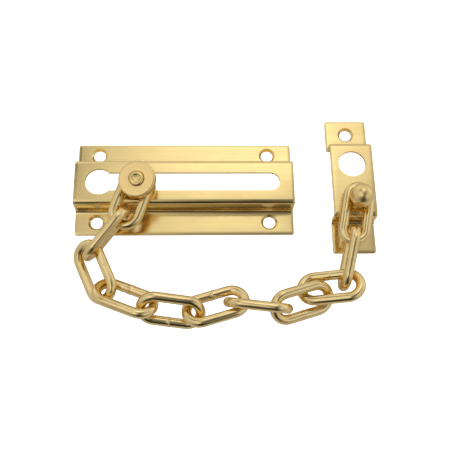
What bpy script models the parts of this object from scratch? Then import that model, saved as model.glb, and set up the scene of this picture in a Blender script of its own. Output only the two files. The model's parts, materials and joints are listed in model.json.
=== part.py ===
"""Door chain guard: slotted track plate, sliding stud with its disc, a chain of
welded links and a keeper plate with a ball-headed stud.

Frame: the guard lies on its back, as it would on a bench.  +Z is up, out of the
door face, and the backs of both plates are at z = 0.  +X runs along the slot,
from the keyhole to the narrow end.  Dimensions are laid out from the centre of the
track plate's back, and the empty that holds the pieces then moves them so that the
origin is the middle of the whole footprint.  Units below are millimetres and
degrees; MM turns them into metres.
"""
import bpy
import bmesh
from math import sin, cos, pi, radians, sqrt, asin, acos
from mathutils import Vector, Matrix

MM = 0.001

# ---- sheet that both plates are pressed from
SHEET = 1.2               # thickness
RAISE = 8.8               # top of the raised part above the back
BEND_R = 1.9              # outer radius at the top bends
FOOT_R = 1.7              # upper-side radius where a wall meets its flange
BEND_STEPS = 6            # facets round a bend

# ---- track plate
TRACK_LENGTH = 85.7
TRACK_WIDTH = 38.6
TRACK_CHANNEL = 18.6      # outer width of the raised channel
TRACK_CORNER = 0.7
SCREW_HOLE = 4.7          # diameter
SCREW_SINK = 6.5          # countersink diameter at the face
TRACK_HOLES_X = 67.8      # screw hole spacing along the track
TRACK_HOLES_SHIFT = -0.6  # the holes sit a little towards the keyhole end
TRACK_HOLES_Y = (-14.2, 14.6)
SLOT_WIDTH = 7.5
SLOT_END_X = 37.3         # where the slot's round end stops
KEYHOLE_X = -33.2
KEYHOLE_D = 10.7

# ---- keeper plate
KEEPER_X = 66.35
KEEPER_Y = 1.55           # middle of the plate
KEEPER_LENGTH = 57.4      # along Y
KEEPER_WIDTH = 16.8
KEEPER_RAISED = (-14.6, 16.9)   # the raised part, lowest and highest y
KEEPER_CORNER = 0.8
KEEPER_HOLES_Y = 45.0     # screw hole spacing along the keeper
PARK_HOLE_D = 10.8        # hole that parks the slider's rear head
PARK_HOLE_Y = 7.55
STUD_X = 67.25             # the ball stud sits a little off the keeper's middle line
STUD_Y = -9.2

# ---- slider: a turned stud held in the slot, with a disc riveted on it
SLIDER_X = -16.6
SLIDER_Y = -1.45
SLIDER_LEAN = 7         # lean towards the keyhole end
SLIDER_TIP = 8          # lean towards -Y
HEAD_D = 9.8              # rear head: wider than the slot, narrower than the keyhole
HEAD_T = 1.7
HEAD_BELOW = 2.3          # its upper face, below the middle of the sheet
NECK_D = 3.8
DISC_FROM = 7.1           # disc's underside, above the middle of the sheet
DISC_D = 14.1
DISC_T = 3.1
TENON_D = 2.8
PEEN_D = 5.6
DISC_CHAMFER = 0.6
FIT = 0.3                 # gap between pieces that touch

# ---- keeper stud: ball head, neck and a peened tail behind the plate
BALL_D = 9.0
BALL_Z = 16.7             # centre of the ball
KSTUD_NECK_D = 3.6
KSTUD_HOLE_D = 3.2
KSTUD_COLLAR_D = 4.8
KSTUD_TAIL_D = 6.6

# ---- chain
WIRE = 3.8
LINK_LENGTH = 26.0        # outside
LINK_WIDTH = 13.9
LAST_LINK_WIDTH = 12.4    # the link round the ball stud's neck is squeezed closer
WIRE_SIDES = 12
CROWN_STEPS = 9           # segments round each half-round end

# How each link lies: its middle (x, y, z), the heading of its long axis from +X,
# its pitch above the table and its roll about that axis.
LINKS = {
    "chain_link_01": ((-20.05, -8.05, 11.80), -110, -7, 4),
    "chain_link_02": ((-29.25, -21.65, 9.30), -131, -14, 81),
    "chain_link_03": ((-33.55, -35.35, 5.15), -66, -2, 35),
    "chain_link_04": ((-21.80, -46.00, 6.80), -22, 5, -32),
    "chain_link_05": ((-4.95, -50.60, 6.20), -7, -5, 45),
    "chain_link_06": ((11.70, -49.15, 6.25), 16, 0, -20),
    "chain_link_07": ((27.25, -49.20, 7.45), -8, 4, -76),
    "chain_link_08": ((43.80, -47.85, 5.90), 18, -9, 33),
    "chain_link_09": ((54.95, -42.20, 6.50), 2, 14, -16),
    "chain_link_10": ((62.20, -31.35, 8.60), 77, 13, 92),
    "chain_link_11": ((65.90, -14.45, 11.00), 78, 1, 0),
}

PLATE_BRASS = (0.86, 0.69, 0.36)
CHAIN_BRASS = (0.80, 0.60, 0.29)
STUD_BRASS = (0.84, 0.66, 0.33)


# ------------------------------------------------------------------ helpers
def clear_scene():
    for ob in list(bpy.data.objects):
        bpy.data.objects.remove(ob, do_unlink=True)
    for me in list(bpy.data.meshes):
        bpy.data.meshes.remove(me)
    for ma in list(bpy.data.materials):
        bpy.data.materials.remove(ma)


def brass(name, colour, roughness):
    ma = bpy.data.materials.new(name)
    ma.use_nodes = True
    node = ma.node_tree.nodes["Principled BSDF"]
    node.inputs["Base Color"].default_value = (*colour, 1.0)
    node.inputs["Metallic"].default_value = 1.0
    node.inputs["Roughness"].default_value = roughness
    ma.diffuse_color = (*colour, 1.0)
    return ma


def new_object(name, bm, material=None, smooth=True):
    bmesh.ops.remove_doubles(bm, verts=bm.verts, dist=1e-7)
    bmesh.ops.recalc_face_normals(bm, faces=bm.faces)
    me = bpy.data.meshes.new(name)
    bm.to_mesh(me)
    bm.free()
    ob = bpy.data.objects.new(name, me)
    bpy.context.scene.collection.objects.link(ob)
    if material:
        me.materials.append(material)
    if smooth:
        me.shade_smooth()
        me.set_sharp_from_angle(angle=radians(35))
    return ob


def cutter(ob):
    ob.hide_render = True
    ob.display_type = 'WIRE'
    return ob


def cut(target, tool, name):
    mod = target.modifiers.new(name, 'BOOLEAN')
    mod.operation = 'DIFFERENCE'
    mod.solver = 'EXACT'
    mod.object = tool


def turned(profile, steps, closed_axis=True):
    """Solid of revolution about local Z from (radius, z) points, bottom to top.
    The first and last point lie on the axis."""
    bm = bmesh.new()
    rings = []
    for r, z in profile:
        if r < 1e-9:
            rings.append([bm.verts.new((0, 0, z * MM))])
        else:
            rings.append([bm.verts.new((r * cos(2 * pi * i / steps) * MM,
                                        r * sin(2 * pi * i / steps) * MM, z * MM))
                          for i in range(steps)])
    loops = list(zip(rings, rings[1:]))
    if not closed_axis:
        loops.append((rings[-1], rings[0]))
    for a, b in loops:
        for i in range(steps):
            j = (i + 1) % steps
            if len(a) == 1:
                bm.faces.new((a[0], b[j], b[i]))
            elif len(b) == 1:
                bm.faces.new((a[i], a[j], b[0]))
            else:
                bm.faces.new((a[i], a[j], b[j], b[i]))
    return bm


def arc(cx, cz, r, a0, a1, steps):
    return [(cx + r * cos(radians(a0 + (a1 - a0) * i / steps)),
             cz + r * sin(radians(a0 + (a1 - a0) * i / steps))) for i in range(steps + 1)]


def hat_section(u_lo, u_hi, c_lo, c_hi):
    """Closed outline of the pressed section: flange, raised middle, flange.
    u is across the raised part, z is up."""
    t = SHEET
    n = BEND_STEPS
    top = RAISE
    r_out, r_in = BEND_R, BEND_R - t
    f_top, f_bot = FOOT_R, FOOT_R + t
    upper = [(u_lo, t)]
    upper += arc(c_lo - f_top, t + f_top, f_top, -90, 0, n)
    upper += arc(c_lo + r_out, top - r_out, r_out, 180, 90, n)
    upper += arc(c_hi - r_out, top - r_out, r_out, 90, 0, n)
    upper += arc(c_hi + f_top, t + f_top, f_top, 180, 270, n)
    upper += [(u_hi, t)]
    lower = [(u_hi, 0.0)]
    lower += arc(c_hi - t + f_bot, f_bot, f_bot, 270, 180, n)
    lower += arc(c_hi - r_out, top - r_out, r_in, 0, 90, n)
    lower += arc(c_lo + r_out, top - r_out, r_in, 90, 180, n)
    lower += arc(c_lo + t - f_bot, f_bot, f_bot, 0, -90, n)
    lower += [(u_lo, 0.0)]
    return upper + lower


def pressed_plate(outline, lo, hi):
    """The section, which lies across Y, extruded along X from lo to hi."""
    bm = bmesh.new()
    verts = [bm.verts.new((lo * MM, u * MM, z * MM)) for u, z in outline]
    step = Vector(((hi - lo) * MM, 0, 0))
    face = bm.faces.new(verts)
    made = bmesh.ops.extrude_face_region(bm, geom=[face])
    moved = [g for g in made["geom"] if isinstance(g, bmesh.types.BMVert)]
    bmesh.ops.translate(bm, vec=step, verts=moved)
    return bm


def prism(points, z0, z1):
    bm = bmesh.new()
    verts = [bm.verts.new((x * MM, y * MM, z0 * MM)) for x, y in points]
    face = bm.faces.new(verts)
    made = bmesh.ops.extrude_face_region(bm, geom=[face])
    moved = [g for g in made["geom"] if isinstance(g, bmesh.types.BMVert)]
    bmesh.ops.translate(bm, vec=(0, 0, (z1 - z0) * MM), verts=moved)
    return bm


def corner_piece(x, y, sx, sy, r, reach=1.0, steps=4):
    """Outline of the waste outside a rounded corner at (x, y), whose plate lies
    towards (-sx, -sy)."""
    cx, cy = x - sx * r, y - sy * r
    pts = [(cx + sx * r * sin(radians(90 * i / steps)),
            cy + sy * r * cos(radians(90 * i / steps))) for i in range(steps + 1)]
    pts += [(x + sx * reach, cy), (x + sx * reach, y + sy * reach), (cx, y + sy * reach)]
    return pts


def add_to(bm, other):
    me = bpy.data.meshes.new("scratch")
    other.to_mesh(me)
    other.free()
    bm.from_mesh(me)
    bpy.data.meshes.remove(me)


def round_corners(target, name, xs, ys, r):
    bm = bmesh.new()
    for x, sx in zip(xs, (-1, 1)):
        for y, sy in zip(ys, (-1, 1)):
            add_to(bm, prism(corner_piece(x, y, sx, sy, r), -1.0, SHEET + 1.0))
    tool = cutter(new_object(name, bm, smooth=False))
    cut(target, tool, "corners")


def screw_hole_cutter(name, places):
    """Through holes with a dished countersink in the flange's upper face."""
    bm = bmesh.new()
    r, s = SCREW_HOLE / 2, SCREW_SINK / 2
    depth = min(SHEET - 0.25, s - r)
    for x, y in places:
        tool = turned([(0, -1.0), (r, -1.0), (r, SHEET - depth), (s, SHEET),
                       (s, SHEET + 1.0), (0, SHEET + 1.0)], 24)
        bmesh.ops.translate(tool, vec=(x * MM, y * MM, 0), verts=tool.verts)
        add_to(bm, tool)
    return cutter(new_object(name, bm, smooth=False))


def keyhole_outline():
    """Round keyhole running into the straight slot with its round far end."""
    w = SLOT_WIDTH / 2
    r = KEYHOLE_D / 2
    a = asin(w / r) * 180 / pi
    pts = []
    steps = 28
    for i in range(steps + 1):
        t = radians(a + (360 - 2 * a) * i / steps)
        pts.append((KEYHOLE_X + r * cos(t), r * sin(t)))
    end = SLOT_END_X - w
    for i in range(13):
        t = radians(-90 + 180 * i / 12)
        pts.append((end + w * cos(t), w * sin(t)))
    return pts


# ------------------------------------------------------------------ pieces
def make_track(material):
    half = TRACK_WIDTH / 2
    ch = TRACK_CHANNEL / 2
    bm = pressed_plate(hat_section(-half, half, -ch, ch), -TRACK_LENGTH / 2, TRACK_LENGTH / 2)
    ob = new_object("track_plate", bm, material)
    cut(ob, cutter(new_object("cut_keyhole_slot", prism(keyhole_outline(), RAISE - SHEET - 1, RAISE + 1),
                              smooth=False)), "slot")
    places = [(TRACK_HOLES_SHIFT + sx * TRACK_HOLES_X / 2, y) for sx in (-1, 1) for y in TRACK_HOLES_Y]
    cut(ob, screw_hole_cutter("cut_track_screws", places), "screw holes")
    round_corners(ob, "cut_track_corners", (-TRACK_LENGTH / 2, TRACK_LENGTH / 2),
                  (-half, half), TRACK_CORNER)
    return ob


def make_keeper(material):
    y_lo = KEEPER_Y - KEEPER_LENGTH / 2
    y_hi = KEEPER_Y + KEEPER_LENGTH / 2
    x_lo = KEEPER_X - KEEPER_WIDTH / 2
    x_hi = KEEPER_X + KEEPER_WIDTH / 2
    bm = pressed_plate(hat_section(y_lo, y_hi, *KEEPER_RAISED), x_lo, x_hi)
    ob = new_object("keeper_plate", bm, material)
    hole = turned([(0, RAISE - SHEET - 1), (PARK_HOLE_D / 2, RAISE - SHEET - 1),
                   (PARK_HOLE_D / 2, RAISE + 1), (0, RAISE + 1)], 36)
    bmesh.ops.translate(hole, vec=(KEEPER_X * MM, PARK_HOLE_Y * MM, 0), verts=hole.verts)
    cut(ob, cutter(new_object("cut_park_hole", hole, smooth=False)), "park hole")
    hole = turned([(0, RAISE - SHEET - 1), (KSTUD_HOLE_D / 2 + FIT, RAISE - SHEET - 1),
                   (KSTUD_HOLE_D / 2 + FIT, RAISE + 1), (0, RAISE + 1)], 24)
    bmesh.ops.translate(hole, vec=(STUD_X * MM, STUD_Y * MM, 0), verts=hole.verts)
    cut(ob, cutter(new_object("cut_stud_hole", hole, smooth=False)), "stud hole")
    places = [(KEEPER_X, KEEPER_Y + s * KEEPER_HOLES_Y / 2) for s in (-1, 1)]
    cut(ob, screw_hole_cutter("cut_keeper_screws", places), "screw holes")
    round_corners(ob, "cut_keeper_corners", (x_lo, x_hi), (y_lo, y_hi), KEEPER_CORNER)
    return ob


def slider_matrix():
    up = Vector((-sin(radians(SLIDER_LEAN)), -sin(radians(SLIDER_TIP)), 1.0)).normalized()
    rot = up.to_track_quat('Z', 'Y').to_matrix().to_4x4()
    return Matrix.Translation(Vector((SLIDER_X, SLIDER_Y, RAISE - SHEET / 2)) * MM) @ rot


def make_slider(stud_material, disc_material):
    r_h, r_n, r_t, r_p = HEAD_D / 2, NECK_D / 2, TENON_D / 2, PEEN_D / 2
    z_h1 = -HEAD_BELOW
    z_h0 = z_h1 - HEAD_T
    top = DISC_FROM + DISC_T
    ch = 0.3
    profile = [(0, z_h0), (r_h - ch, z_h0), (r_h, z_h0 + ch), (r_h, z_h1 - ch), (r_h - ch, z_h1),
               (r_n + 0.3, z_h1), (r_n, z_h1 + 0.3), (r_n, DISC_FROM - FIT), (r_t, DISC_FROM - FIT),
               (r_t, top - 0.75), (r_p - 0.25, top - 0.20), (r_p - 0.05, top + 0.10),
               (r_p - 0.5, top + 0.42), (r_p * 0.45, top + 0.62), (0, top + 0.68)]
    stud = new_object("slider_stud", turned(profile, 32), stud_material)
    stud.matrix_world = slider_matrix()
    # the disc has a bore for the tenon, dished at the top for the peened end
    r_d = DISC_D / 2
    c = DISC_CHAMFER
    bore = r_t + FIT
    dish = r_p + 0.12
    ring = [(bore, DISC_FROM), (r_d - 0.25, DISC_FROM), (r_d, DISC_FROM + 0.25),
            (r_d, top - c), (r_d - 0.35 * c, top - 0.12 * c), (r_d - c * 1.1, top),
            (dish + 0.18, top), (dish, top - 0.30), (bore, top - 0.95)]
    disc = new_object("slider_disc", turned(ring, 40, closed_axis=False), disc_material)
    disc.matrix_world = slider_matrix()
    return stud, disc


def make_keeper_stud(material):
    r_b = BALL_D / 2
    r_n = KSTUD_NECK_D / 2
    r_s = KSTUD_HOLE_D / 2
    under = RAISE - SHEET
    z0 = under - FIT - 1.5
    profile = [(0, z0), (1.8, z0 + 0.1), (KSTUD_TAIL_D / 2 - 0.3, z0 + 0.6), (KSTUD_TAIL_D / 2, z0 + 1.1),
               (KSTUD_TAIL_D / 2 - 0.2, under - FIT), (r_s, under - FIT), (r_s, RAISE + FIT),
               (KSTUD_COLLAR_D / 2 - 0.2, RAISE + FIT), (KSTUD_COLLAR_D / 2, RAISE + FIT + 0.2),
               (KSTUD_COLLAR_D / 2, RAISE + FIT + 0.5), (r_n + 0.3, RAISE + FIT + 0.8)]
    # the neck flows into the ball
    low = -90 + acos(sqrt(1 - (r_n / r_b) ** 2)) * 180 / pi
    profile.append((r_n, RAISE + FIT + 1.2))
    for i in range(15):
        a = radians(low + (90 - low) * i / 14)
        profile.append((r_b * cos(a) if i < 14 else 0.0, BALL_Z + r_b * sin(a)))
    ob = new_object("keeper_stud", turned(profile, 32), material)
    ob.location = (STUD_X * MM, STUD_Y * MM, 0)
    return ob


def link_mesh(name, width):
    """Stadium-shaped wire loop lying in local XY, long axis along X."""
    r = WIRE / 2
    big = width / 2 - r
    s = LINK_LENGTH / 2 - r - big
    path = []                      # (centre, outward direction in XY)
    for side in (1, -1):
        for i in range(CROWN_STEPS + 1):
            a = radians(-90 + 180 * i / CROWN_STEPS)
            out = (side * cos(a), side * sin(a))
            path.append(((side * s + big * out[0], big * out[1]), out))
    bm = bmesh.new()
    rings = []
    for (cx, cy), (ox, oy) in path:
        ring = []
        for k in range(WIRE_SIDES):
            a = 2 * pi * k / WIRE_SIDES
            d = r * cos(a)
            ring.append(bm.verts.new(((cx + d * ox) * MM, (cy + d * oy) * MM, r * sin(a) * MM)))
        rings.append(ring)
    n = len(rings)
    for i in range(n):
        a, b = rings[i], rings[(i + 1) % n]
        for k in range(WIRE_SIDES):
            m = (k + 1) % WIRE_SIDES
            bm.faces.new((a[k], a[m], b[m], b[k]))
    bmesh.ops.recalc_face_normals(bm, faces=bm.faces)
    me = bpy.data.meshes.new(name)
    bm.to_mesh(me)
    bm.free()
    me.shade_smooth()
    return me


def link_matrix(place):
    (x, y, z), heading, pitch, roll = place
    h, p = radians(heading), radians(pitch)
    along = Vector((cos(h) * cos(p), sin(h) * cos(p), sin(p)))
    level = Vector((-sin(h), cos(h), 0))
    lift = along.cross(level)
    across = level * cos(radians(roll)) + lift * sin(radians(roll))
    normal = along.cross(across)
    m = Matrix((along, across, normal)).transposed().to_4x4()
    m.translation = Vector((x, y, z)) * MM
    return m


def make_chain(material):
    mesh = link_mesh("chain_link", LINK_WIDTH)
    last_mesh = link_mesh("chain_link_last", LAST_LINK_WIDTH)
    for me in (mesh, last_mesh):
        me.materials.append(material)
    last = list(LINKS)[-1]
    made = []
    for name, place in LINKS.items():
        ob = bpy.data.objects.new(name, last_mesh if name == last else mesh)
        bpy.context.scene.collection.objects.link(ob)
        ob.matrix_world = link_matrix(place)
        made.append(ob)
    return made


def footprint_middle():
    """Middle of the box round everything, in the layout's own X and Y."""
    lo = [-TRACK_LENGTH / 2, -TRACK_WIDTH / 2]
    hi = [KEEPER_X + KEEPER_WIDTH / 2, KEEPER_Y + KEEPER_LENGTH / 2]
    r = WIRE / 2
    big = LINK_WIDTH / 2 - r
    s = LINK_LENGTH / 2 - r - big
    for place in LINKS.values():
        m = link_matrix(place)
        for k in (0, 1):
            reach = s * abs(m[k][0]) + big * sqrt(m[k][0] ** 2 + m[k][1] ** 2) + r
            lo[k] = min(lo[k], place[0][k] - reach)
            hi[k] = max(hi[k], place[0][k] + reach)
    return (lo[0] + hi[0]) / 2, (lo[1] + hi[1]) / 2


def gather():
    """One empty holds every piece and puts the origin in the footprint's middle."""
    pieces = [ob for ob in bpy.data.objects if ob.type == 'MESH']
    hold = bpy.data.objects.new("assembly", None)
    bpy.context.scene.collection.objects.link(hold)
    for ob in pieces:
        ob.parent = hold
    x, y = footprint_middle()
    hold.location = (-x * MM, -y * MM, 0)


def main():
    clear_scene()
    plate = brass("plate_brass", PLATE_BRASS, 0.28)
    chain = brass("chain_brass", CHAIN_BRASS, 0.18)
    stud = brass("stud_brass", STUD_BRASS, 0.16)
    disc = brass("disc_brass", STUD_BRASS, 0.24)
    make_track(plate)
    make_keeper(plate)
    make_slider(stud, disc)
    make_keeper_stud(stud)
    make_chain(chain)
    gather()


main()
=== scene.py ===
import json

import bmesh
import bpy
import numpy as np
from math import acos, asin, atan, cos, exp, pi, radians, sin, sqrt
from mathutils import Matrix, Vector, noise


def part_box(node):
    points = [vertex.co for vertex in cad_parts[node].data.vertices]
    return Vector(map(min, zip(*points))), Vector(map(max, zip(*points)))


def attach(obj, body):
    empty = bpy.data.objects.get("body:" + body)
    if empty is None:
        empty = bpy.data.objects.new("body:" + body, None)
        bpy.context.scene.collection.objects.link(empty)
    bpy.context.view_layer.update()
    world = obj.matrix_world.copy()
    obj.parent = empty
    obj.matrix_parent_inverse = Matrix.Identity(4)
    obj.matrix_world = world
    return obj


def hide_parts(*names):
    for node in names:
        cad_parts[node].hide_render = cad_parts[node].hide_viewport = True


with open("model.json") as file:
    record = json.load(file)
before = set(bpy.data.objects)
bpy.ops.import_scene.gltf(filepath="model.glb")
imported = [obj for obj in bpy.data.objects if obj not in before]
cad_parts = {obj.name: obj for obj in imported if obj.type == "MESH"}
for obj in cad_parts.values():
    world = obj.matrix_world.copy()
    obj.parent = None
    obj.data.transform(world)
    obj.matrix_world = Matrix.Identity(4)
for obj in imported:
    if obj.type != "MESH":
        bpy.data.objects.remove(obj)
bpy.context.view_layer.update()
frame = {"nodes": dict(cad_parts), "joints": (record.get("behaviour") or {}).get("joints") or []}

MM = 0.001
scene = bpy.context.scene

# ------------------------------------------------------------------ sizes, as the CAD has them
SHEET = 1.2
RAISE = 8.8
BEND_R = 1.9
FOOT_R = 1.7
TRACK_CHANNEL = 18.6
TRACK_CORNER = 0.7
SCREW_HOLE = 4.7
SCREW_SINK = 6.5
TRACK_HOLES_X = 67.8
TRACK_HOLES_SHIFT = -0.6
TRACK_HOLES_Y = (-14.2, 14.6)
SLOT_WIDTH = 7.5
SLOT_END_X = 37.3
KEYHOLE_X = -33.2
KEYHOLE_D = 10.7
KEEPER_RAISED = (-14.6, 16.9)
KEEPER_CORNER = 0.8
KEEPER_HOLES_Y = 45.0
PARK_HOLE_D = 10.8
PARK_HOLE_Y = 7.55
STUD_X, STUD_Y = 67.25, -9.2
HEAD_D, HEAD_T, HEAD_BELOW = 9.8, 1.7, 2.3
NECK_D = 3.8
DISC_FROM, DISC_D, DISC_T = 7.1, 14.1, 3.1
TENON_D, PEEN_D, DISC_CHAMFER, FIT = 2.8, 5.6, 0.6, 0.3
BALL_D, BALL_Z = 9.0, 16.7
KSTUD_NECK_D, KSTUD_HOLE_D, KSTUD_COLLAR_D, KSTUD_TAIL_D = 3.6, 3.2, 4.8, 6.6
WIRE, LINK_LENGTH, LINK_WIDTH, LAST_LINK_WIDTH = 3.8, 26.0, 13.9, 12.4

t_lo, t_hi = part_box("track_plate")
k_lo, k_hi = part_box("keeper_plate")
LAYOUT = Vector(((t_lo.x + t_hi.x) / 2, (t_lo.y + t_hi.y) / 2, 0))   # middle of the track plate's back
KEEPER_X = ((k_lo.x + k_hi.x) / 2 - LAYOUT.x) / MM


# ------------------------------------------------------------------ mesh helpers
def to_object(name, bm, smooth=True, move=None):
    bmesh.ops.remove_doubles(bm, verts=bm.verts, dist=2e-7)
    bmesh.ops.recalc_face_normals(bm, faces=bm.faces)
    if move is not None:
        bmesh.ops.transform(bm, matrix=move, verts=bm.verts)
    me = bpy.data.meshes.new(name)
    bm.to_mesh(me)
    bm.free()
    ob = bpy.data.objects.new(name, me)
    scene.collection.objects.link(ob)
    if smooth:
        me.shade_smooth()
    return ob


def settle(ob):
    """Replaces the object's mesh by what its modifiers make."""
    bpy.context.view_layer.update()
    dg = bpy.context.evaluated_depsgraph_get()
    me = bpy.data.meshes.new_from_object(ob.evaluated_get(dg), depsgraph=dg)
    old = ob.data
    ob.modifiers.clear()
    ob.data = me
    bpy.data.meshes.remove(old)
    return ob


def cut(ob, *tools):
    for tool in tools:
        mod = ob.modifiers.new("cut", 'BOOLEAN')
        mod.operation = 'DIFFERENCE'
        mod.solver = 'EXACT'
        mod.object = tool
    settle(ob)
    for tool in tools:
        me = tool.data
        bpy.data.objects.remove(tool)
        bpy.data.meshes.remove(me)


def turned(profile, steps, closed_axis=True):
    """Solid of revolution about local Z from (radius, z) points, bottom to top."""
    bm = bmesh.new()
    rings = []
    for r, z in profile:
        if r < 1e-9:
            rings.append([bm.verts.new((0, 0, z * MM))])
        else:
            rings.append([bm.verts.new((r * cos(2 * pi * i / steps) * MM,
                                        r * sin(2 * pi * i / steps) * MM, z * MM))
                          for i in range(steps)])
    loops = list(zip(rings, rings[1:]))
    if not closed_axis:
        loops.append((rings[-1], rings[0]))
    for a, b in loops:
        for i in range(steps):
            j = (i + 1) % steps
            if len(a) == 1:
                bm.faces.new((a[0], b[j], b[i]))
            elif len(b) == 1:
                bm.faces.new((a[i], a[j], b[0]))
            else:
                bm.faces.new((a[i], a[j], b[j], b[i]))
    return bm


def arc(cx, cz, r, a0, a1, steps):
    return [(cx + r * cos(radians(a0 + (a1 - a0) * i / steps)),
             cz + r * sin(radians(a0 + (a1 - a0) * i / steps))) for i in range(steps + 1)]


def rounded(profile, radii, steps=5):
    """Profile corners rounded: radii maps a corner's index to its radius."""
    out = []
    for i, p in enumerate(profile):
        r = radii.get(i, 0)
        if not r or i in (0, len(profile) - 1):
            out.append(p)
            continue
        a, b, c = Vector(profile[i - 1]), Vector(p), Vector(profile[i + 1])
        u, v = (a - b).normalized(), (c - b).normalized()
        half = acos(max(-1, min(1, u.dot(v)))) / 2
        reach = min(r / max(sin(half) / cos(half), 1e-6), (a - b).length * 0.49, (c - b).length * 0.49)
        p0, p2 = b + u * reach, b + v * reach
        for k in range(steps + 1):
            t = k / steps
            q = p0 * (1 - t) ** 2 + b * 2 * t * (1 - t) + p2 * t ** 2
            out.append((q.x, q.y))
    return out


def prism(points, z0, z1):
    bm = bmesh.new()
    face = bm.faces.new([bm.verts.new((x * MM, y * MM, z0 * MM)) for x, y in points])
    made = bmesh.ops.extrude_face_region(bm, geom=[face])
    moved = [g for g in made["geom"] if isinstance(g, bmesh.types.BMVert)]
    bmesh.ops.translate(bm, vec=(0, 0, (z1 - z0) * MM), verts=moved)
    return bm


def add_to(bm, other):
    me = bpy.data.meshes.new("scratch")
    other.to_mesh(me)
    other.free()
    bm.from_mesh(me)
    bpy.data.meshes.remove(me)


# ------------------------------------------------------------------ pressed plates
ROLL_WIDTH, ROLL_DROP = 1.25, 0.15            # how far the sheared upper edges roll over
ROLL_STEPS = (0.0, 0.46, 0.68, 0.95, ROLL_WIDTH)


def rolled(d):
    return ROLL_DROP * max(0.0, 1 - d / ROLL_WIDTH) ** 2


def hat_section(u_lo, u_hi, c_lo, c_hi, n=14):
    """Upper and lower lines of the pressed section: flange, raised middle, flange."""
    t, top = SHEET, RAISE
    r_out, r_in = BEND_R, BEND_R - SHEET
    f_top, f_bot = FOOT_R, FOOT_R + SHEET
    upper = [(u_lo + d, t - rolled(d)) for d in ROLL_STEPS]
    upper += arc(c_lo - f_top, t + f_top, f_top, -90, 0, n)
    upper += arc(c_lo + r_out, top - r_out, r_out, 180, 90, n)
    upper += arc(c_hi - r_out, top - r_out, r_out, 90, 0, n)
    upper += arc(c_hi + f_top, t + f_top, f_top, 180, 270, n)
    upper += [(u_hi - d, t - rolled(d)) for d in reversed(ROLL_STEPS)]
    lower = [(u_hi, 0.0)]
    lower += arc(c_hi - t + f_bot, f_bot, f_bot, 270, 180, n)
    lower += arc(c_hi - r_out, top - r_out, r_in, 0, 90, n)
    lower += arc(c_lo + r_out, top - r_out, r_in, 90, 180, n)
    lower += arc(c_lo + t - f_bot, f_bot, f_bot, 0, -90, n)
    lower += [(u_lo, 0.0)]
    return upper, lower


def pressed(name, section, lo, hi):
    """The section extruded along X, its upper side rolled over a little at both ends."""
    upper, lower = section
    bm = bmesh.new()
    rows = []
    for x in [lo + d for d in ROLL_STEPS] + [hi - d for d in reversed(ROLL_STEPS)]:
        drop = rolled(min(x - lo, hi - x))
        line = []
        for i, (u, z) in enumerate(upper):
            (u0, z0), (u1, z1) = upper[max(i - 1, 0)], upper[min(i + 1, len(upper) - 1)]
            size = sqrt((u1 - u0) ** 2 + (z1 - z0) ** 2)
            line.append((u + drop * (z1 - z0) / size, z - drop * (u1 - u0) / size))
        rows.append([bm.verts.new((x * MM, u * MM, z * MM)) for u, z in line + lower])
    n = len(rows[0])
    bm.faces.new(rows[0])
    bm.faces.new(list(reversed(rows[-1])))
    for a, b in zip(rows, rows[1:]):
        for i in range(n):
            j = (i + 1) % n
            bm.faces.new((a[i], b[i], b[j], a[j]))
    return to_object(name, bm)


def corner_tool(xs, ys, r, reach=1.0, steps=10):
    bm = bmesh.new()
    for x, sx in zip(xs, (-1, 1)):
        for y, sy in zip(ys, (-1, 1)):
            cx, cy = x - sx * r, y - sy * r
            pts = [(cx + sx * r * sin(radians(90 * i / steps)),
                    cy + sy * r * cos(radians(90 * i / steps))) for i in range(steps + 1)]
            pts += [(x + sx * reach, cy), (x + sx * reach, y + sy * reach), (cx, y + sy * reach)]
            add_to(bm, prism(pts, -1.0, SHEET + 1.0))
    return to_object("tool", bm, smooth=False)


def screw_tool(places, steps=56):
    bm = bmesh.new()
    r, s = SCREW_HOLE / 2, SCREW_SINK / 2
    depth = min(SHEET - 0.25, s - r)
    for x, y in places:
        one = turned([(0, -1.0), (r, -1.0), (r, SHEET - depth), (s, SHEET),
                      (s, SHEET + 1.0), (0, SHEET + 1.0)], steps)
        bmesh.ops.translate(one, vec=(x * MM, y * MM, 0), verts=one.verts)
        add_to(bm, one)
    return to_object("tool", bm, smooth=False)


def round_tool(x, y, d, steps=80):
    bm = turned([(0, RAISE - SHEET - 1), (d / 2, RAISE - SHEET - 1), (d / 2, RAISE + 1), (0, RAISE + 1)], steps)
    bmesh.ops.translate(bm, vec=(x * MM, y * MM, 0), verts=bm.verts)
    return to_object("tool", bm, smooth=False)


def keyhole_tool():
    w, r = SLOT_WIDTH / 2, KEYHOLE_D / 2
    a = asin(w / r) * 180 / pi
    pts = []
    for i in range(73):
        t = radians(a + (360 - 2 * a) * i / 72)
        pts.append((KEYHOLE_X + r * cos(t), r * sin(t)))
    end = SLOT_END_X - w
    for i in range(41):
        t = radians(-90 + 180 * i / 40)
        pts.append((end + w * cos(t), w * sin(t)))
    return to_object("tool", prism(pts, RAISE - SHEET - 1, RAISE + 1), smooth=False)


def soften(ob, width, segments=3, angle=38):
    """Rounds the sheared edges of a sheet, with flat faces kept flat."""
    mod = ob.modifiers.new("edges", 'BEVEL')
    mod.width = width * MM
    mod.segments = segments
    mod.limit_method = 'ANGLE'
    mod.angle_limit = radians(angle)
    mod.profile = 0.55
    mod.use_clamp_overlap = True
    mod.harden_normals = True
    mod.miter_outer = 'MITER_ARC'
    settle(ob)


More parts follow.
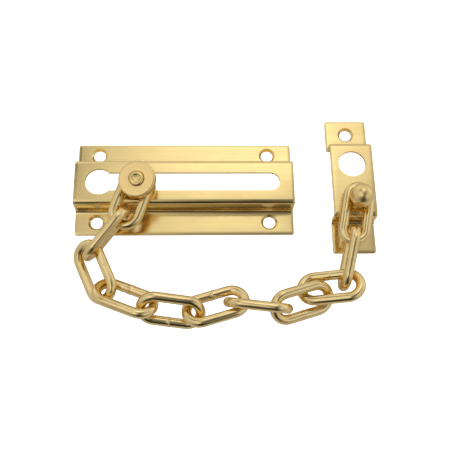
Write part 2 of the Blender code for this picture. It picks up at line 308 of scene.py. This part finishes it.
def make_track():
    half = (t_hi.y - t_lo.y) / 2 / MM
    length = (t_hi.x - t_lo.x) / 2 / MM
    ch = TRACK_CHANNEL / 2
    ob = pressed("track_plate_skin", hat_section(-half, half, -ch, ch), -length, length)
    places = [(TRACK_HOLES_SHIFT + sx * TRACK_HOLES_X / 2, y) for sx in (-1, 1) for y in TRACK_HOLES_Y]
    cut(ob, keyhole_tool(), screw_tool(places),
        corner_tool((-length, length), (-half, half), TRACK_CORNER))
    ob.data.shade_smooth()
    soften(ob, 0.34, 4)
    ob.data.transform(Matrix.Translation(LAYOUT))
    return ob


def make_keeper():
    x_lo, x_hi = ((v - LAYOUT.x) / MM for v in (k_lo.x, k_hi.x))
    y_lo, y_hi = ((v - LAYOUT.y) / MM for v in (k_lo.y, k_hi.y))
    ob = pressed("keeper_plate_skin", hat_section(y_lo, y_hi, *KEEPER_RAISED), x_lo, x_hi)
    mid = (y_lo + y_hi) / 2
    places = [(KEEPER_X, mid + s * KEEPER_HOLES_Y / 2) for s in (-1, 1)]
    cut(ob, round_tool(KEEPER_X, PARK_HOLE_Y, PARK_HOLE_D),
        round_tool(STUD_X, STUD_Y, KSTUD_HOLE_D + 2 * FIT, 48), screw_tool(places),
        corner_tool((x_lo, x_hi), (y_lo, y_hi), KEEPER_CORNER))
    ob.data.shade_smooth()
    soften(ob, 0.40, 4)
    ob.data.transform(Matrix.Translation(LAYOUT))
    return ob


# ------------------------------------------------------------------ turned pieces
joints = {j["name"]: j for j in frame["joints"]}


def slider_matrix():
    j = joints["link_01_swivel"]
    up = Vector(j["axis"]).normalized()
    if up.z < 0:
        up = -up
    at = Vector(j["pos_m"])
    at = at + up * (((RAISE - SHEET / 2) * MM - at.z) / up.z)
    return Matrix.Translation(at) @ up.to_track_quat('Z', 'Y').to_matrix().to_4x4()


def make_slider():
    m = slider_matrix()
    r_h, r_n, r_t, r_p = HEAD_D / 2, NECK_D / 2, TENON_D / 2, PEEN_D / 2
    z_h1 = -HEAD_BELOW
    z_h0 = z_h1 - HEAD_T
    top = DISC_FROM + DISC_T
    body = [(0, z_h0), (r_h, z_h0), (r_h, z_h1), (r_n, z_h1), (r_n, DISC_FROM - FIT), (r_t, DISC_FROM - FIT),
            (r_t, top - 0.75)]
    body = rounded(body, {1: 0.3, 2: 0.3, 3: 0.35, 4: 0.12, 5: 0.05})
    # the tenon's end, rolled over into a low ring with a shallow hollow
    ring_r, ring_w = 2.12, 0.64
    roll = [(ring_r + ring_w * cos(radians(a)), top + 0.02 + 0.50 * sin(radians(a))) for a in range(-30, 181, 15)]
    hollow = [(1.36, top - 0.10), (1.0, top - 0.06), (0.6, top - 0.01), (0.25, top + 0.02), (0, top + 0.03)]
    stud = to_object("slider_stud_skin", turned(body + [(r_p - 0.25, top - 0.24)] + roll + hollow, 80), move=None)
    stud.data.set_sharp_from_angle(angle=radians(50))
    stud.matrix_world = m
    r_d, c = DISC_D / 2, DISC_CHAMFER
    bore, dish = r_t + FIT, r_p + 0.12
    ring = [(bore, DISC_FROM), (r_d, DISC_FROM), (r_d, top), (dish + 0.1, top), (dish - 0.02, top - 0.28), (bore, top - 0.95)]
    prof = [ring[0]]
    prof += [(r_d - 0.3, DISC_FROM), (r_d - 0.1, DISC_FROM + 0.05), (r_d - 0.02, DISC_FROM + 0.16), (r_d, DISC_FROM + 0.3)]
    prof += [(r_d, top - c)]
    prof += [(r_d - c + c * cos(radians(a)), top - c + c * sin(radians(a))) for a in range(10, 91, 10)]
    prof += [(r_d - c - 0.9, top - 0.01), (r_d * 0.66, top - 0.02), (dish + 0.35, top - 0.02), (dish + 0.16, top - 0.04)]
    prof += [(dish, top - 0.16), (dish - 0.12, top - 0.34), (bore, top - 0.95)]
    disc = to_object("slider_disc_skin", turned(prof, 120, closed_axis=False))
    disc.data.set_sharp_from_angle(angle=radians(50))
    disc.matrix_world = m
    return stud, disc


def make_keeper_stud():
    r_b, r_n, r_s = BALL_D / 2, KSTUD_NECK_D / 2, KSTUD_HOLE_D / 2
    under = RAISE - SHEET
    z0 = under - FIT - 1.5
    prof = [(0, z0), (1.8, z0 + 0.1), (KSTUD_TAIL_D / 2 - 0.3, z0 + 0.6), (KSTUD_TAIL_D / 2, z0 + 1.1),
            (KSTUD_TAIL_D / 2 - 0.2, under - FIT), (r_s, under - FIT), (r_s, RAISE + FIT),
            (KSTUD_COLLAR_D / 2 - 0.2, RAISE + FIT), (KSTUD_COLLAR_D / 2, RAISE + FIT + 0.2),
            (KSTUD_COLLAR_D / 2, RAISE + FIT + 0.5), (r_n + 0.3, RAISE + FIT + 0.8), (r_n, RAISE + FIT + 1.2)]
    prof = rounded(prof, {2: 0.4, 3: 0.3, 4: 0.08, 8: 0.1, 9: 0.12, 10: 0.3})
    low = -90 + acos(sqrt(1 - (r_n / r_b) ** 2)) * 180 / pi
    for i in range(41):
        a = radians(low + (90 - low) * i / 40)
        prof.append((r_b * cos(a) if i < 40 else 0.0, BALL_Z + r_b * sin(a)))
    ob = to_object("keeper_stud_skin", turned(prof, 96))
    ob.data.set_sharp_from_angle(angle=radians(50))
    ob.location = LAYOUT + Vector((STUD_X * MM, STUD_Y * MM, 0))
    return ob


# ------------------------------------------------------------------ chain
def node_axes(name):
    """Middle and principal axes (long, across, thin) of a CAD node's surface."""
    me = frame["nodes"][name].data
    me.calc_loop_triangles()
    co = np.array([v.co for v in me.vertices], float).reshape(-1, 3)
    tri = np.array([t.vertices for t in me.loop_triangles])
    a, b, c = co[tri[:, 0]], co[tri[:, 1]], co[tri[:, 2]]
    w = np.linalg.norm(np.cross(b - a, c - a), axis=1) / 2
    mid = (a + b + c) / 3
    centre = (mid * w[:, None]).sum(0) / w.sum()
    d = mid - centre
    val, vec = np.linalg.eigh((d * w[:, None]).T @ d)
    return Vector(centre), [Vector(vec[:, k]) for k in (2, 1, 0)]


def link_mesh(name, seed, weld_side, weld, width):
    """Wire loop in local XY, long axis along X, butt weld in the middle of one bar."""
    r = WIRE / 2
    big = width / 2 - r
    s = LINK_LENGTH / 2 - r - big
    path = []                                     # centre, outward direction, place along the bar
    crown, sides = 22, 28
    bar = [-s, -s * 0.62, -s * 0.32]
    bar += [x for x in (-1.3, -0.9, -0.6, -0.4, -0.26, -0.17, -0.1, -0.04, 0.04, 0.1, 0.17, 0.26, 0.4, 0.6, 0.9, 1.3)]
    bar += [s * 0.32, s * 0.62, s]
    for i in range(crown + 1):
        a = radians(-90 + 180 * i / crown)
        path.append(((s + big * cos(a), big * sin(a)), (cos(a), sin(a)), None))
    for x in bar[-2:0:-1]:
        path.append(((x, big), (0, 1), (1, x)))
    for i in range(crown + 1):
        a = radians(90 + 180 * i / crown)
        path.append(((-s + big * cos(a), big * sin(a)), (cos(a), sin(a)), None))
    for x in bar[1:-1]:
        path.append(((x, -big), (0, -1), (-1, x)))
    bm = bmesh.new()
    uv = bm.loops.layers.uv.new("wire")
    rings, along, total = [], [], 0.0
    prev = None
    for (cx, cy), (ox, oy), where in path:
        if prev is not None:
            total += sqrt((cx - prev[0]) ** 2 + (cy - prev[1]) ** 2)
        prev = (cx, cy)
        along.append(total)
        bulge, twist = 0.0, 0.0
        if where and where[0] == weld_side:
            x = where[1]
            bulge = weld * (0.11 * exp(-(x / 0.62) ** 2) - 0.17 * exp(-(x / 0.13) ** 2))
            twist = weld * 0.05 * (1 if x > 0 else -1) * exp(-(x / 0.9) ** 2)
        ring = []
        for k in range(sides):
            a = 2 * pi * k / sides
            p = Vector((cx * 0.13, cy * 0.13, a * 0.0 + seed * 7.3))
            swell = 0.018 * noise.noise(p) + 0.010 * noise.noise(
                Vector((cx * 0.5 + 3 * seed, cy * 0.5, 0.9 * cos(a)))) - 0.014
            rr = r + swell + bulge * (1 + 0.25 * cos(a * 2 + seed))
            d = rr * cos(a) + twist
            ring.append(bm.verts.new(((cx + d * ox) * MM, (cy + d * oy) * MM, rr * sin(a) * MM)))
        rings.append(ring)
    n = len(rings)
    total += sqrt((path[0][0][0] - prev[0]) ** 2 + (path[0][0][1] - prev[1]) ** 2)
    for i in range(n):
        p, q = rings[i], rings[(i + 1) % n]
        v0, v1 = along[i], along[i + 1] if i + 1 < n else total
        for k in range(sides):
            m = (k + 1) % sides
            f = bm.faces.new((p[k], p[m], q[m], q[k]))
            for loop, (u, v) in zip(f.loops, ((k, v0), (k + 1, v0), (k + 1, v1), (k, v1))):
                loop[uv].uv = (u / sides, v / total)
    return bm


def make_chain():
    names = sorted(n for n in frame["nodes"] if n.startswith("chain_link_"))
    places = [node_axes(n) for n in names]
    welds = {4: (1, 1.0), 5: (-1, 1.0), 6: (1, 1.0)}     # bar and height; the others' are dressed almost flat
    made = []
    for i, (name, (centre, (along, across, thin))) in enumerate(zip(names, places)):
        k = int(name[-2:])
        towards = places[min(i + 1, len(places) - 1)][0] - places[max(i - 1, 0)][0]
        if along.dot(towards) < 0:
            along = -along
        if thin.z < 0:
            thin = -thin
        across = thin.cross(along).normalized()
        m = Matrix((along, across, thin)).transposed().to_4x4()
        m.translation = centre
        ob = to_object(f"link_{k:02d}_skin", link_mesh(name, k, *welds.get(k, (1 if k % 2 else -1, 0.22)),
                                                      LAST_LINK_WIDTH if k == len(names) else LINK_WIDTH))
        ob.matrix_world = m
        made.append((ob, f"link_{k:02d}", name))
    return made


# ------------------------------------------------------------------ finishes
class Nodes:
    """Short hand for building one material's nodes."""

    def __init__(self, name):
        self.ma = bpy.data.materials.new(name)
        self.ma.use_nodes = True
        self.t = self.ma.node_tree
        self.bsdf = self.t.nodes["Principled BSDF"]

    def add(self, kind, **values):
        n = self.t.nodes.new(kind)
        for k, v in values.items():
            setattr(n, k, v)
        return n

    def link(self, a, b):
        self.t.links.new(a, b)

    def put(self, socket, value):
        if hasattr(value, "is_output"):
            self.link(value, socket)
        else:
            socket.default_value = value

    def math(self, op, a, b=0.0, c=0.0, clamp=False):
        n = self.add('ShaderNodeMath', operation=op, use_clamp=clamp)
        for s, v in zip(n.inputs, (a, b, c)):
            self.put(s, v)
        return n.outputs[0]

    def scaled(self, coords, scale, rot=(0, 0, 0), loc=(0, 0, 0)):
        n = self.add('ShaderNodeMapping')
        self.link(coords, n.inputs[0])
        n.inputs['Location'].default_value = loc
        n.inputs['Rotation'].default_value = rot
        n.inputs['Scale'].default_value = scale
        return n.outputs[0]

    def noise(self, coords, scale=1.0, detail=3.0, rough=0.55, distortion=0.0):
        n = self.add('ShaderNodeTexNoise')
        self.link(coords, n.inputs['Vector'])
        n.inputs['Scale'].default_value = scale
        n.inputs['Detail'].default_value = detail
        n.inputs['Roughness'].default_value = rough
        n.inputs['Distortion'].default_value = distortion
        return n.outputs['Fac']

    def span(self, x, a, b, lo, hi, clamp=True):
        n = self.add('ShaderNodeMapRange', clamp=clamp)
        for s, v in zip(n.inputs, (x, a, b, lo, hi)):
            self.put(s, v)
        return n.outputs[0]

    def mix(self, fac, a, b):
        n = self.add('ShaderNodeMix', data_type='RGBA')
        self.put(n.inputs['Factor'], fac)
        for s, v in ((n.inputs[6], a), (n.inputs[7], b)):
            self.put(s, (*v, 1.0) if isinstance(v, tuple) and len(v) == 3 else v)
        return n.outputs[2]

    def bump(self, height, strength, distance, normal=None):
        n = self.add('ShaderNodeBump')
        n.inputs['Strength'].default_value = strength
        n.inputs['Distance'].default_value = distance
        self.link(height, n.inputs['Height'])
        if normal is not None:
            self.link(normal, n.inputs['Normal'])
        return n.outputs[0]

    def finish(self, colour, roughness, normal):
        self.put(self.bsdf.inputs['Base Color'], colour)
        self.put(self.bsdf.inputs['Roughness'], roughness)
        self.bsdf.inputs['Metallic'].default_value = 1.0
        if normal is not None:
            self.link(normal, self.bsdf.inputs['Normal'])
        return self.ma


BRASS = (0.92, 0.715, 0.315)


def plate_finish(name, along_x, rough=0.17):
    """Polished and plated sheet: long fine polishing lines, faint waves from the press, wear and specks."""
    s = Nodes(name)
    co = s.add('ShaderNodeTexCoord').outputs['Object']
    turn = (0, 0, 0) if along_x else (0, 0, radians(90))
    fine = s.noise(s.scaled(co, (55, 3600, 3600), turn), detail=4.0, rough=0.65)
    broad = s.noise(s.scaled(co, (9, 620, 620), turn), detail=3.0)
    wave = s.noise(s.scaled(co, (26, 90, 90), turn), detail=1.0)
    blot = s.noise(s.scaled(co, (95, 95, 95)), detail=3.0)
    speck = s.noise(s.scaled(co, (1500, 1500, 1500)), detail=2.0)
    tone = s.span(broad, 0.35, 0.65, 0.0, 1.0)
    col = s.mix(tone, (BRASS[0] * 0.965, BRASS[1] * 0.955, BRASS[2] * 0.93), (BRASS[0] * 1.03, BRASS[1] * 1.03, BRASS[2] * 1.05))
    tint = s.noise(s.scaled(co, (60, 60, 60), loc=(3.1, 1.7, 0.4)), detail=1.5)
    col = s.mix(s.span(tint, 0.38, 0.62, 0.0, 0.5), col, (BRASS[0] * 0.985, BRASS[1] * 0.935, BRASS[2] * 0.96))
    dull = s.span(speck, 0.70, 0.78, 0.0, 0.35)
    col = s.mix(dull, col, (0.62, 0.43, 0.18))
    r = s.math('ADD', s.span(fine, 0.3, 0.7, rough - 0.035, rough + 0.045), s.span(blot, 0.35, 0.65, -0.025, 0.03))
    n = s.bump(fine, 0.20, 0.00002)
    n = s.bump(wave, 0.75, 0.00008, n)
    return s.finish(col, r, n)


def chain_finish(name, rough=0.13):
    """Drawn wire, tumbled and plated: faint lines along the wire, cloudy tone and dark pits."""
    s = Nodes(name)
    uv = s.add('ShaderNodeUVMap', uv_map="wire").outputs[0]
    co = s.add('ShaderNodeTexCoord').outputs['Object']
    info = s.add('ShaderNodeObjectInfo').outputs['Random']
    drawn = s.noise(s.scaled(uv, (60, 9, 1)), detail=3.0)
    pits = s.noise(s.scaled(co, (900, 900, 900)), detail=3.0)
    cloud = s.noise(s.scaled(co, (160, 160, 160)), detail=2.0)
    col = s.mix(s.span(cloud, 0.35, 0.65, 0.0, 1.0), (0.87, 0.65, 0.295), (0.94, 0.73, 0.355))
    col = s.mix(s.span(pits, 0.66, 0.76, 0.0, 0.5), col, (0.50, 0.31, 0.12))
    r = s.math('ADD', s.span(drawn, 0.3, 0.7, rough - 0.03, rough + 0.04), s.span(cloud, 0.35, 0.65, -0.02, 0.03))
    n = s.bump(drawn, 0.25, 0.00003)
    n = s.bump(cloud, 0.5, 0.00008, n)
    return s.finish(col, r, n)


def turned_finish(name, rough=0.16, rings=True, low=(0.87, 0.655, 0.275), high=(0.93, 0.725, 0.32)):
    """Turned brass: fine rings about the axis, with handling wear and dark pits."""
    s = Nodes(name)
    co = s.add('ShaderNodeTexCoord').outputs['Object']
    sep = s.add('ShaderNodeSeparateXYZ')
    s.link(co, sep.inputs[0])
    rad = s.math('SQRT', s.math('ADD', s.math('POWER', sep.outputs[0], 2.0), s.math('POWER', sep.outputs[1], 2.0)))
    comb = s.add('ShaderNodeCombineXYZ')
    s.link(s.math('MULTIPLY', rad, 4200.0), comb.inputs[0])
    s.link(s.math('MULTIPLY', sep.outputs[2], 4200.0), comb.inputs[1])
    ring = s.noise(comb.outputs[0], detail=3.0)
    cloud = s.noise(s.scaled(co, (210, 210, 210)), detail=3.0)
    pits = s.noise(s.scaled(co, (1400, 1400, 1400)), detail=2.0)
    col = s.mix(s.span(cloud, 0.35, 0.65, 0.0, 1.0), low, high)
    col = s.mix(s.span(pits, 0.68, 0.78, 0.0, 0.4), col, (0.55, 0.36, 0.14))
    r = s.math('ADD', s.span(ring, 0.3, 0.7, rough - 0.03, rough + 0.04), s.span(cloud, 0.35, 0.65, -0.02, 0.03))
    n = s.bump(ring, 0.30 if rings else 0.08, 0.00002)
    n = s.bump(cloud, 0.4, 0.00005, n)
    return s.finish(col, r, n)


# ------------------------------------------------------------------ build the object
track = make_track()
keeper = make_keeper()
stud, disc = make_slider()
kstud = make_keeper_stud()
chain = make_chain()

plate_x = plate_finish("plated_sheet_track", True)
plate_y = plate_finish("plated_sheet_keeper", False)
wire = chain_finish("plated_wire")
turned_m = turned_finish("turned_stud", 0.14)
ball_m = turned_finish("turned_ball", 0.24, low=(0.90, 0.665, 0.28), high=(0.95, 0.735, 0.325))
face_m = turned_finish("turned_disc", 0.24, low=(0.93, 0.67, 0.285), high=(0.98, 0.73, 0.32))

for ob, body, node, slot, ma in (
        (track, "track", "track_plate", "plate_brass", plate_x),
        (keeper, "keeper", "keeper_plate", "plate_brass", plate_y),
        (stud, "slider", "slider_stud", "stud_brass", turned_m),
        (disc, "slider", "slider_disc", "disc_brass", face_m),
        (kstud, "keeper", "keeper_stud", "stud_brass", ball_m)):
    ob.data.materials.clear()
    ob.data.materials.append(ma)
    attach(ob, body)
    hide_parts(node)
for ob, body, node in chain:
    ob.data.materials.clear()
    ob.data.materials.append(wire)
    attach(ob, body)
    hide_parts(node)
for node in frame["nodes"].values():           # the hidden CAD nodes keep a finish too
    node.data.materials.clear()
    node.data.materials.append(plate_x)


# ------------------------------------------------------------------ floor and light
def plain(name, colour, strength=None):
    ma = bpy.data.materials.new(name)
    ma.use_nodes = True
    t = ma.node_tree
    b = t.nodes["Principled BSDF"]
    b.inputs['Base Color'].default_value = (*colour, 1)
    b.inputs['Roughness'].default_value = 0.9
    b.inputs['Specular IOR Level'].default_value = 0.1
    if strength is not None:
        b.inputs['Emission Color'].default_value = (1, 1, 1, 1)
        b.inputs['Emission Strength'].default_value = strength
    return ma


def sheet_of(name, size, z, ma):
    bm = bmesh.new()
    bmesh.ops.create_grid(bm, x_segments=1, y_segments=1, size=size / 2)
    ob = to_object(name, bm, smooth=False)
    ob.location = (0, 0, z)
    ob.data.materials.append(ma)
    return ob


# white paper lit until it burns out, as the camera sees it, well below so that a chain that hangs down stays in
# sight; what the metal mirrors is the softer tone of the paper it lies on
floor = sheet_of("floor", 40.0, -0.30, plain("paper_lit", (1, 1, 1), 1.0))
floor.visible_diffuse = False
floor.visible_glossy = False
floor.visible_shadow = False
bounce = sheet_of("floor_bounce", 3.0, -0.0002, plain("paper", (0.80, 0.785, 0.755), 0.10))
bounce.location.y = 1.37                      # its near edge is a hand's breadth in front of the chain
bounce.visible_camera = False

world = bpy.data.worlds.new("studio")
scene.world = world
world.use_nodes = True
wt = world.node_tree
bg = wt.nodes["Background"]


def wmath(op, a, b=0.0):
    n = wt.nodes.new('ShaderNodeMath')
    n.operation = op
    for s, v in zip(n.inputs, (a, b)):
        if hasattr(v, "is_output"):
            wt.links.new(v, s)
        else:
            s.default_value = v
    return n.outputs[0]


wco = wt.nodes.new('ShaderNodeTexCoord').outputs['Generated']


def lobe(direction, strength, tightness):
    """A soft patch of light: strength at its middle, falling off round it."""
    dot = wt.nodes.new('ShaderNodeVectorMath')
    dot.operation = 'DOT_PRODUCT'
    wt.links.new(wco, dot.inputs[0])
    dot.inputs[1].default_value = Vector(direction).normalized()
    e = wmath('EXPONENT', wmath('MULTIPLY', wmath('SUBTRACT', dot.outputs['Value'], 1.0), tightness))
    return wmath('MULTIPLY', e, strength)


def aim(azimuth, elevation):
    return (cos(radians(elevation)) * cos(radians(azimuth)),
            cos(radians(elevation)) * sin(radians(azimuth)), sin(radians(elevation)))


# a pale room all round, with softly brighter and darker parts
total = None
for azimuth, elevation, strength, tightness in (
        (272, 14, -0.57, 3.1),      # dim side, where the viewer stands
        (285, 72, -0.67, 6.0),      # dim ceiling over the camera
        (82, 60, 0.95, 30.0),       # soft box behind, above
        (320, 45, 0.58, 16.0),      # window to the right
        (27, 9, 0.32, 8.0),
        (115, 11, 0.25, 10.0),
        (208, 66, 0.45, 10.0),
        (239, 64, 0.80, 40.0),
        (157, 70, 0.43, 80.0),
        (121, 56, -0.60, 50.0),     # dim beyond the keyhole end
        (45, 62, -0.26, 60.0)):
    part = lobe(aim(azimuth, elevation), strength, tightness)
    total = part if total is None else wmath('ADD', total, part)
total = wmath('MAXIMUM', wmath('ADD', total, 0.64), 0.01)
wt.links.new(total, bg.inputs['Strength'])
bg.inputs['Color'].default_value = (1, 1, 1, 1)

# ------------------------------------------------------------------ camera
cam = bpy.data.cameras.new("camera")
cam.sensor_width = 36.0
cam.lens = 699.6 / 450 * 36.0
cam.clip_start, cam.clip_end = 0.01, 50
cam_ob = bpy.data.objects.new("camera", cam)
scene.collection.objects.link(cam_ob)
scene.camera = cam_ob
e, a, r = radians(70.0), radians(-5.983), radians(5.435)
back = Vector((sin(a) * cos(e), -cos(a) * cos(e), sin(e)))
eye = LAYOUT + Vector((15.82, -14.97, 0)) * MM + back * 276.2 * MM
right = (-back).cross(Vector((0, 0, 1))).normalized()
up = right.cross(-back)
cx = right * cos(r) + up * sin(r)
cy = -right * sin(r) + up * cos(r)
m = Matrix((cx, cy, back)).transposed().to_4x4()
m.translation = eye
cam_ob.matrix_world = m

scene.view_settings.view_transform = 'Standard'
scene.view_settings.look = 'None'
scene.view_settings.exposure = 0.0
scene.view_settings.gamma = 1.0
